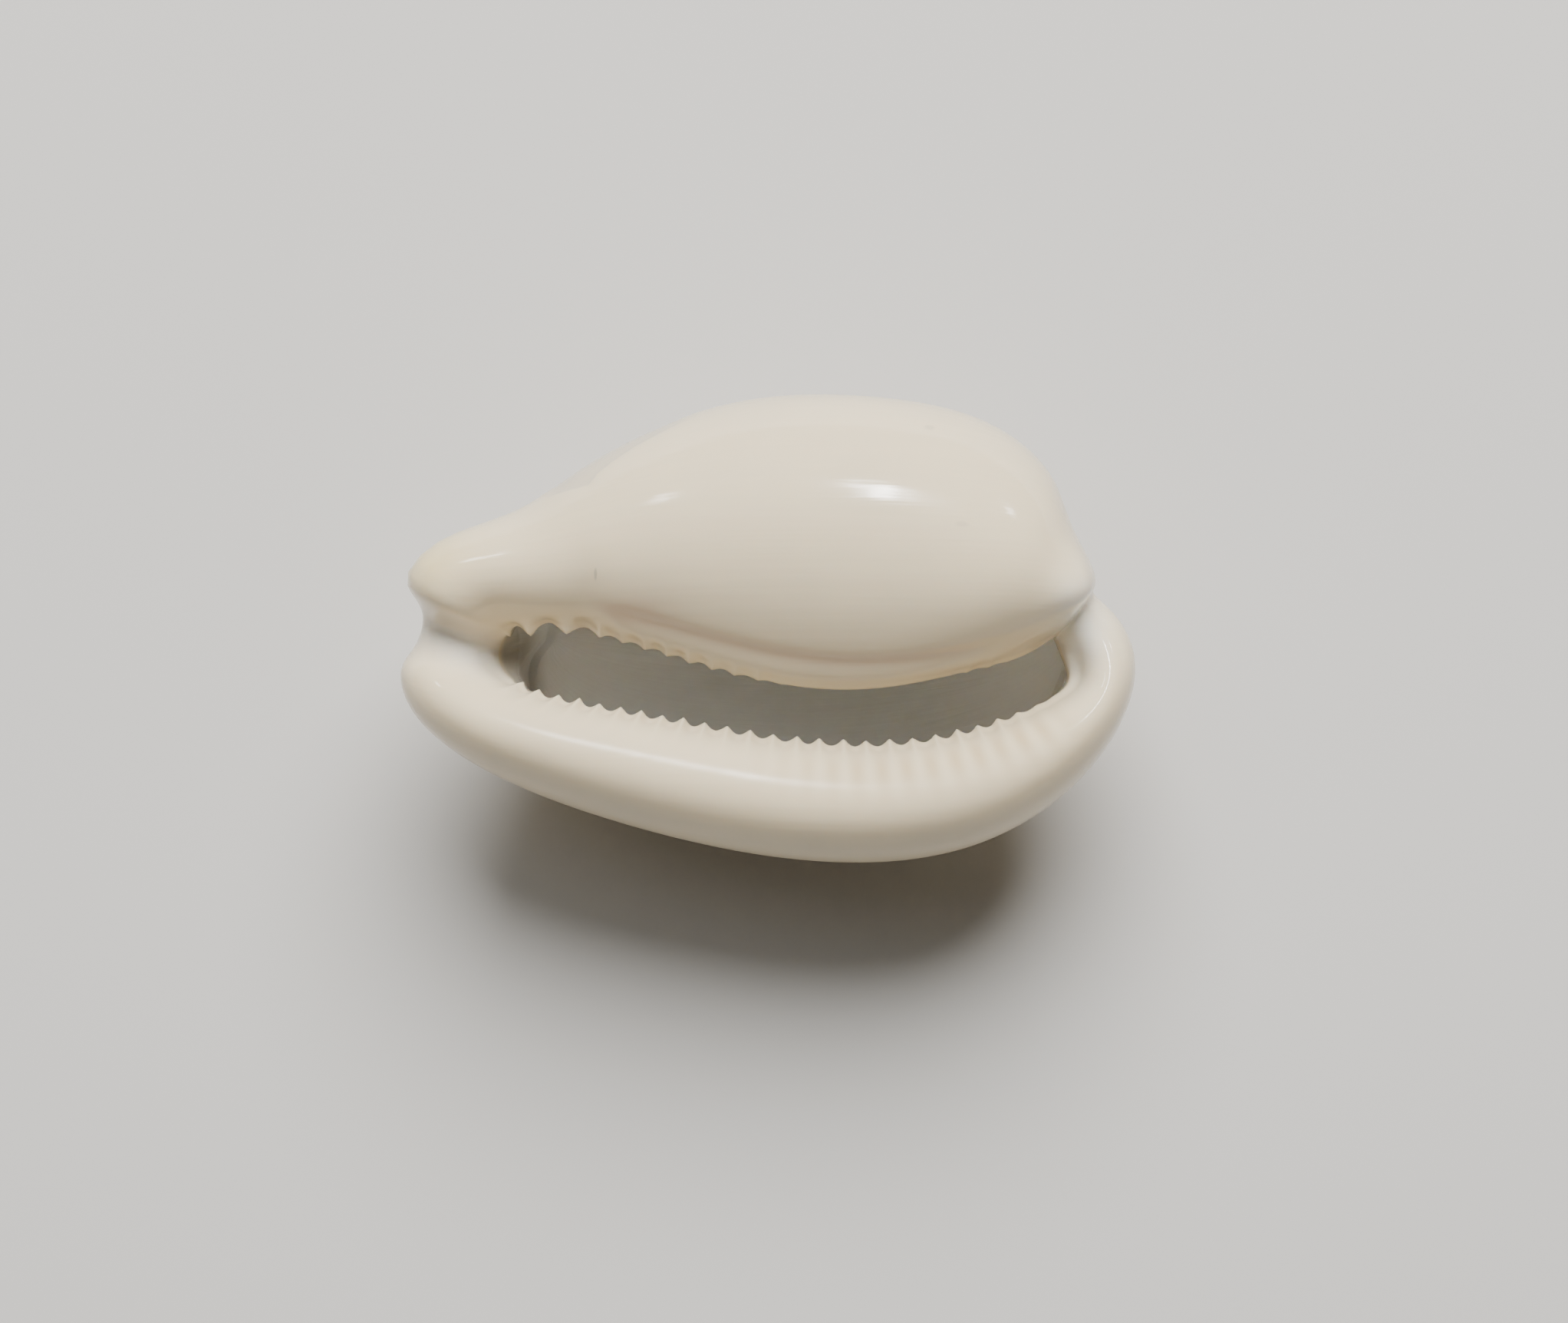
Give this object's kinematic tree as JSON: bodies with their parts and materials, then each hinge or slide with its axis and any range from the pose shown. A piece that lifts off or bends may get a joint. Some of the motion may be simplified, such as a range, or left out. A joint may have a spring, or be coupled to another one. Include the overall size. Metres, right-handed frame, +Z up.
{
  "type": "cowrie shell",
  "caption": "Glossy white cowrie shell lying on its rounded back, with a toothed slit-like mouth open upwards into a hollow.",
  "frame": {"origin": "middle of the shell's box, on the surface that it rests on", "axes": "+X along the shell, from the front beak to the back end; +Z up; the mouth faces up and 15 degrees towards -Y, and the body whorl is on the +Y side"},
  "size_m": [0.0904, 0.0588, 0.0474],
  "materials": {
    "shell_enamel": "glossy natural porcelain, warm white"
  },
  "bodies": {
    "root": {"shell": "shell_enamel"}
  },
  "joints": []
}
